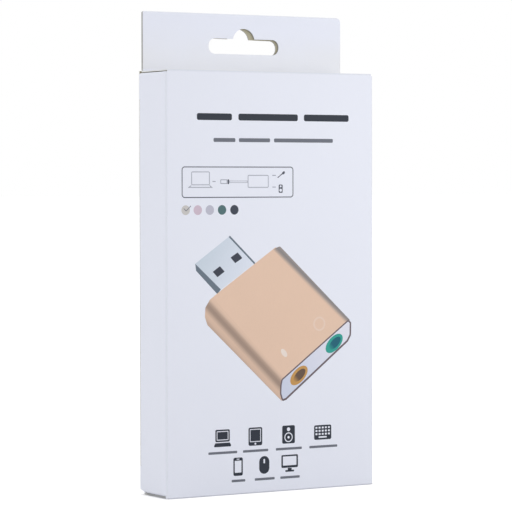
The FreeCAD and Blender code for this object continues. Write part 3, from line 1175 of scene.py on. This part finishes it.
class CARTON_OT_print_colour_dots(CartonOperator, bpy.types.Operator):
    """Print the row of colour dots, the first one ticked"""
    bl_idname = "carton.print_colour_dots"
    bl_label = "Print colour dots"

    def execute(self, context):
        self.begin(context)
        middle = 109.0
        radius = 1.85
        dots = (("beige", -38.4), ("pink", -33.1), ("lilac", -27.8), ("teal", -22.4), ("night", -16.9))
        fields = [Field(self.ink(name), oval((x, middle), radius, radius)) for name, x in dots]
        tick = stroke([(-39.2, 109.6), (-38.2, 108.7), (-36.1, 110.6)], 0.27)
        fields.append(Field(self.ink("grey"), tick, layer=1))
        print_piece("colour_dots", fields, self.carton)
        return {'FINISHED'}


class CARTON_OT_print_adaptor(CartonOperator, bpy.types.Operator):
    """Print the picture of a plug-in adaptor with two round jacks"""
    bl_idname = "carton.print_adaptor"
    bl_label = "Print adaptor picture"

    def plug_fields(self):
        """Plug that leaves the adaptor's far end."""
        steel = self.fade((-30.4, 92.5), (-12.4, 82.5), "steel_far", "steel")
        side = self.ink("steel_side")
        upper = [(-34.3, 88.7), (-23.0, 78.7), (-7.9, 88.4), (-19.2, 98.9)]
        lower = [(-34.3, 88.7), (-33.9, 86.0), (-24.6, 77.0), (-23.0, 78.7)]
        holes = (
            [(-26.6, 85.5, 0.2), (-24.5, 83.4, 0.2), (-21.3, 85.5, 0.2), (-23.4, 87.6, 0.2)],
            [(-18.7, 90.8, 0.2), (-16.6, 88.6, 0.2), (-13.4, 90.5, 0.2), (-15.5, 92.7, 0.2)],
        )
        return [
            Field(steel, upper, layer=UNDER),
            Field(side, lower, layer=UNDER),
            Field(side, stroke([(-19.2, 98.9), (-7.8, 88.3)], 0.7), layer=SHELL),
            *[Field(self.ink("hole"), rounded(hole), layer=SHELL) for hole in holes],
        ]

    def shell_fields(self):
        """Adaptor's metal shell: its upper face and the two rounded long sides."""
        across_left = (
            (0.0, 0.07), (0.1, 0.26), (0.21, 0.75), (0.34, 1.0), (0.46, 0.96),
            (0.6, 0.52), (0.72, 0.21), (0.88, 0.29), (1.0, 0.54),
        )
        across_right = ((0.0, 0.0), (0.2, 0.22), (0.5, 0.81), (0.75, 1.0), (1.0, 0.89))
        left_side = self.fade((-11.1, 59.6), (-16.4, 54.1), "gold", "gold_shade", across_left)
        right_side = self.fade((17.1, 78.5), (19.0, 80.7), "gold", "gold_edge", across_right)
        face = [(-26.6, 75.9, 0.8), (5.3, 44.0, 0), (35.1, 65.2, 0), (1.7, 94.5, 0.6)]
        left = [
            (-25.3, 76.7, 0), (-27.8, 75.0, 1.5), (-29.9, 71.9, 1.4), (-30.1, 68.4, 1.2),
            (-29.0, 65.3, 1.2), (4.3, 34.9, 0), (3.7, 37.9, 0), (4.0, 41.2, 0), (6.0, 44.4, 0),
        ]
        right = [(0.4, 93.6, 0), (33.8, 63.4, 0), (36.3, 65.1, 0.6), (3.6, 94.8, 0.9)]
        return [
            Field(left_side, rounded(left), layer=UNDER),
            Field(self.ink("gold"), rounded(face), layer=SHELL),
            Field(right_side, rounded(right), layer=SHELL_EDGE),
        ]

    def end_fields(self):
        """Adaptor's pale near end with its two jacks."""
        line = 0.64
        rim = [
            (4.2, 43.3, 1.5), (35.2, 65.5, 0.9), (36.6, 64.4, 0.8), (36.5, 59.4, 1.2), (35.1, 57.0, 1.4),
            (6.4, 35.3, 0.8), (4.5, 34.8, 0.7), (3.5, 37.7, 0.8), (3.7, 41.1, 1.0),
        ]
        inner = rounded([(x - 0.06, z + 0.09, radius) for x, z, radius in inset(rim, line)])
        pale = self.fade((7.4, 39.7), (33.4, 59.6), "end_shade", "end_face")
        fields = [Field(self.ink("outline"), rounded(rim), (inner,), END), Field(pale, inner, layer=END)]
        tilt = 41
        for name, x, z in (("amber", 12.2, 44.5), ("green", 28.6, 56.4)):
            ring = oval((x, z), 4.8, 2.65, tilt)
            opening = oval((x + 0.3, z + 0.1), 3.3, 1.6, tilt)
            deep = self.fade((x - 2.4, z - 2.2), (x - 0.6, z - 0.6), name, f"{name}_hole")
            fields += [Field(self.ink(name), ring, layer=JACK), Field(deep, opening, layer=OPENING)]
        return fields

    def mark_fields(self):
        """Two faint marks over the jacks."""
        bean = oval((5.4, 53.5), 1.9, 1.05, -50)
        ring, ring_hole = (oval((21.7, 64.3), radius, radius) for radius in (2.8, 2.1))
        return [
            Field(self.ink("light_mark"), bean, layer=SHELL_EDGE),
            Field(self.ink("faint_mark"), ring, (ring_hole,), SHELL_EDGE),
        ]

    def execute(self, context):
        self.begin(context)
        fields = self.plug_fields() + self.shell_fields() + self.end_fields() + self.mark_fields()
        print_piece("adaptor_picture", fields, self.carton)
        return {'FINISHED'}


class CARTON_OT_print_icons(CartonOperator, bpy.types.Operator):
    """Print two rows of device pictograms, each over a light bar"""
    bl_idname = "carton.print_icons"
    bl_label = "Print icons"

    def screen(self, left, low, right, high):
        """Groove round a dark screen, and the screen."""
        corners = rectangle(left, low, right, high, 0.2)
        return rounded(corners), rounded(inset(corners, GROOVE))

    def laptop(self, x, z):
        """Open laptop."""
        groove, screen = self.screen(x - 2.6, z - 0.7, x + 2.6, z + 2.8)
        base = [
            (x - 4.1, z - 3.2, 0.4),
            (x + 4.1, z - 3.2, 0.4),
            (x + 3.2, z - 1.7, 0.2),
            (x - 3.2, z - 1.7, 0.2),
        ]
        lid = panel(x - 3.2, z - 1.3, x + 3.2, z + 3.4, 0.5)
        return [(lid, [groove]), (screen, []), (rounded(base), [])]

    def tablet(self, x, z):
        """Tablet with a round key."""
        groove, screen = self.screen(x - 2.5, z - 2.1, x + 2.5, z + 2.9)
        body = panel(x - 3.1, z - 3.5, x + 3.1, z + 3.5, 0.7)
        return [(body, [groove, oval((x, z - 2.8), 0.4, 0.4)]), (screen, [])]

    def keyboard(self, x, z):
        """Keyboard with three rows of keys over a long one."""
        keys = [
            panel(x + across - 0.45, z + up - 0.35, x + across + 0.45, z + up + 0.35, 0.15)
            for up in (1.9, 0.65, -0.6)
            for across in (-2.9, -1.45, 0.0, 1.45, 2.9)
        ]
        keys.append(panel(x - 1.9, z - 2.1, x + 1.9, z - 1.5, 0.2))
        return [(panel(x - 4.0, z - 2.8, x + 4.0, z + 2.9, 0.7), keys)]

    def phone(self, x, z):
        """Phone with a short ear slit."""
        screen = panel(x - 1.5, z - 2.3, x + 1.5, z + 2.3, 0.2)
        slit = panel(x - 0.6, z + 2.75, x + 0.6, z + 3.05, 0.1)
        return [(panel(x - 2.1, z - 3.5, x + 2.1, z + 3.5, 0.7), [screen, slit])]

    def mouse(self, x, z):
        """Mouse with its wheel."""
        wheel = panel(x - 0.35, z + 0.6, x + 0.35, z + 2.3, 0.3)
        return [(panel(x - 2.3, z - 3.4, x + 2.3, z + 3.4, 2.2), [wheel])]

    def monitor(self, x, z):
        """Monitor on its foot, its screen bare."""
        screen = panel(x - 3.1, z - 0.8, x + 3.1, z + 2.7, 0.2)
        return [
            (panel(x - 3.8, z - 1.7, x + 3.8, z + 3.3, 0.5), [screen]),
            (panel(x - 0.9, z - 2.7, x + 0.9, z - 1.8), []),
            (panel(x - 2.0, z - 3.3, x + 2.0, z - 2.6, 0.2), []),
        ]

    def speaker(self, x, z):
        """Two-way speaker."""
        low_cone = (x, z - 1.1)
        body = panel(x - 2.9, z - 3.5, x + 2.9, z + 3.5, 0.6)
        return [
            (body, [oval((x, z + 2.0), 0.75, 0.75), oval(low_cone, 1.9, 1.9)]),
            (oval(low_cone, 1.5, 1.5), [oval(low_cone, 0.5, 0.5)]),
        ]

    def execute(self, context):
        self.begin(context)
        slate, grey = self.ink("slate"), self.ink("grey")
        upper = ((self.laptop, -22.4), (self.tablet, -7.7), (self.speaker, 7.4), (self.keyboard, 23.2))
        lower = ((self.phone, -15.5), (self.mouse, -3.7), (self.monitor, 7.9))
        shapes = []
        for row, z in ((upper, 21.8), (lower, 10.6)):
            for draw, x in row:
                shapes += draw(x, z)
        fields = [Field(slate, outline, tuple(holes)) for outline, holes in shapes]
        print_piece("device_icons", fields, self.carton)
        upper_spans = ((-28.7, -15.9), (-13.3, -1.9), (1.6, 13.5), (17.0, 30.0))
        lower_spans = ((-18.4, -12.3), (-8.0, 1.0), (3.6, 12.5))
        captions = bar_row(grey, 16.3, 0.95, upper_spans) + bar_row(grey, 5.2, 0.95, lower_spans)
        print_piece("caption_bars", captions, self.carton)
        return {'FINISHED'}


# Stage

FLOOR_REACH = 20.0  # metres from the middle to each side
CREVICE_SAMPLES = 16
SENSOR_WIDTH = 36.0
VIEW_REACH = 100.0


def soft_lamp(name, place, target, size, watts):
    """Square area lamp that faces a target."""
    lamp = bpy.data.lights.new(name, 'AREA')
    lamp.energy = watts
    lamp.size = size
    holder = bpy.data.objects.new(name, lamp)
    holder.location = place
    holder.rotation_euler = (Vector(target) - Vector(place)).to_track_quat('-Z', 'Y').to_euler()
    holder.visible_camera = False
    bpy.context.scene.collection.objects.link(holder)
    return holder


def seen_directly(tree):
    """Mask of rays that reach the camera straight, by reflection or through glass."""
    path = add_node(tree, 'ShaderNodeLightPath')
    kinds = [path.outputs[f"Is {kind} Ray"] for kind in ("Camera", "Glossy", "Transmission")]
    return maths(tree, 'MAXIMUM', *kinds)


class CARTON_OT_set_stage(bpy.types.Operator):
    """Set the floor, world, lamps and camera"""
    bl_idname = "carton.set_stage"
    bl_label = "Set stage"

    def floor(self, stage):
        """Wide pale floor that keeps the carton's shadow."""
        material = bpy.data.materials.new("pale_floor")
        material.use_nodes = True
        tree = material.node_tree
        tree.nodes.remove(tree.nodes["Principled BSDF"])
        matt = add_node(tree, 'ShaderNodeBsdfDiffuse', {"Color": opaque(stage.floor)})
        open_sky = add_node(
            tree, 'ShaderNodeAmbientOcclusion', {"Distance": stage.crevice}, samples=CREVICE_SAMPLES
        )
        lift = maths(tree, 'MULTIPLY', seen_directly(tree), stage.floor_lift, open_sky.outputs["AO"])
        glow = add_node(tree, 'ShaderNodeEmission', {"Color": WHITE, "Strength": lift})
        shaders = {0: matt.outputs["BSDF"], 1: glow.outputs["Emission"]}
        both = add_node(tree, 'ShaderNodeAddShader', shaders)
        tree.links.new(both.outputs["Shader"], tree.nodes["Material Output"].inputs["Surface"])
        mesh = bpy.data.meshes.new("floor")
        sheet = bmesh.new()
        bmesh.ops.create_grid(sheet, x_segments=1, y_segments=1, size=FLOOR_REACH)
        sheet.to_mesh(mesh)
        sheet.free()
        mesh.materials.append(material)
        plane = bpy.data.objects.new("floor", mesh)
        bpy.context.scene.collection.objects.link(plane)

    def world(self, stage):
        """Soft light from all round, white where the camera sees it."""
        world = bpy.data.worlds.new("studio")
        world.use_nodes = True
        tree = world.node_tree
        even = tree.nodes["Background"]
        even.inputs["Color"].default_value = WHITE
        way = add_node(tree, 'ShaderNodeTexCoord').outputs["Generated"]
        rise = add_node(tree, 'ShaderNodeSeparateXYZ', {"Vector": way}).outputs["Z"]
        strength = remap(tree, rise, stage.world_level, stage.zenith_level)
        tree.links.new(strength, even.inputs["Strength"])
        white = add_node(tree, 'ShaderNodeBackground', {"Color": WHITE, "Strength": 1.0})
        shaders = {0: seen_directly(tree), 1: even.outputs["Background"], 2: white.outputs["Background"]}
        mix = add_node(tree, 'ShaderNodeMixShader', shaders)
        tree.links.new(mix.outputs["Shader"], tree.nodes["World Output"].inputs["Surface"])
        bpy.context.scene.world = world

    def camera(self, stage):
        """Camera at the photograph's viewing angle."""
        camera = bpy.data.cameras.new("camera")
        camera.lens = stage.camera_lens
        camera.sensor_width = SENSOR_WIDTH
        camera.clip_end = VIEW_REACH
        holder = bpy.data.objects.new("camera", camera)
        holder.location = stage.camera_place
        aim = Euler((QUARTER_TURN - stage.camera_tilt, 0.0, -stage.camera_turn)).to_matrix()
        holder.rotation_euler = (aim @ Matrix.Rotation(-stage.camera_roll, 3, 'Z')).to_euler()
        bpy.context.scene.collection.objects.link(holder)
        bpy.context.scene.camera = holder

    def execute(self, context):
        stage = context.scene.carton_stage
        self.floor(stage)
        self.world(stage)
        self.camera(stage)
        middle = (CAD_BOX[0] + CAD_BOX[1]) / 2
        soft_lamp("key_lamp", stage.key_place, middle, stage.key_size, stage.key_level)
        soft_lamp("fill_lamp", stage.fill_place, middle, stage.fill_size, stage.fill_level)
        context.scene.view_settings.view_transform = 'Standard'
        return {'FINISHED'}


class CARTON_PT_panel(bpy.types.Panel):
    """Lists the carton's settings and steps"""
    bl_label = "Hang-tab carton"
    bl_idname = "CARTON_PT_panel"
    bl_space_type = 'VIEW_3D'
    bl_region_type = 'UI'
    bl_category = "Carton"

    def draw(self, context):
        for step in STEPS:
            self.layout.operator(step.bl_idname)
        for name, group in SETTINGS.items():
            box = self.layout.box()
            box.label(text=group.__doc__)
            for setting in group.__annotations__:
                box.prop(getattr(context.scene, name), setting)


SETTINGS = {
    "carton_sizes": CartonSizes,
    "carton_board": BoardFinish,
    "carton_inks": PrintInks,
    "carton_stage": StageSettings,
}
STEPS = (
    CARTON_OT_fold_sleeve,
    CARTON_OT_fold_lids,
    CARTON_OT_print_headline,
    CARTON_OT_print_diagram,
    CARTON_OT_print_colour_dots,
    CARTON_OT_print_adaptor,
    CARTON_OT_print_icons,
    CARTON_OT_set_stage,
)
CLASSES = (*SETTINGS.values(), *STEPS, CARTON_PT_panel)


def register():
    """Add the settings, steps and panel."""
    for cls in CLASSES:
        bpy.utils.register_class(cls)
    for name, group in SETTINGS.items():
        setattr(bpy.types.Scene, name, PointerProperty(type=group))


def unregister():
    """Take them away again."""
    for name in SETTINGS:
        delattr(bpy.types.Scene, name)
    for cls in reversed(CLASSES):
        bpy.utils.unregister_class(cls)


def main():
    """Fold, print and stage the carton."""
    register()
    bpy.ops.carton.fold_sleeve()
    bpy.ops.carton.fold_lids()
    bpy.ops.carton.print_headline()
    bpy.ops.carton.print_diagram()
    bpy.ops.carton.print_colour_dots()
    bpy.ops.carton.print_adaptor()
    bpy.ops.carton.print_icons()
    bpy.ops.carton.set_stage()


if __name__ == "__main__":
    main()
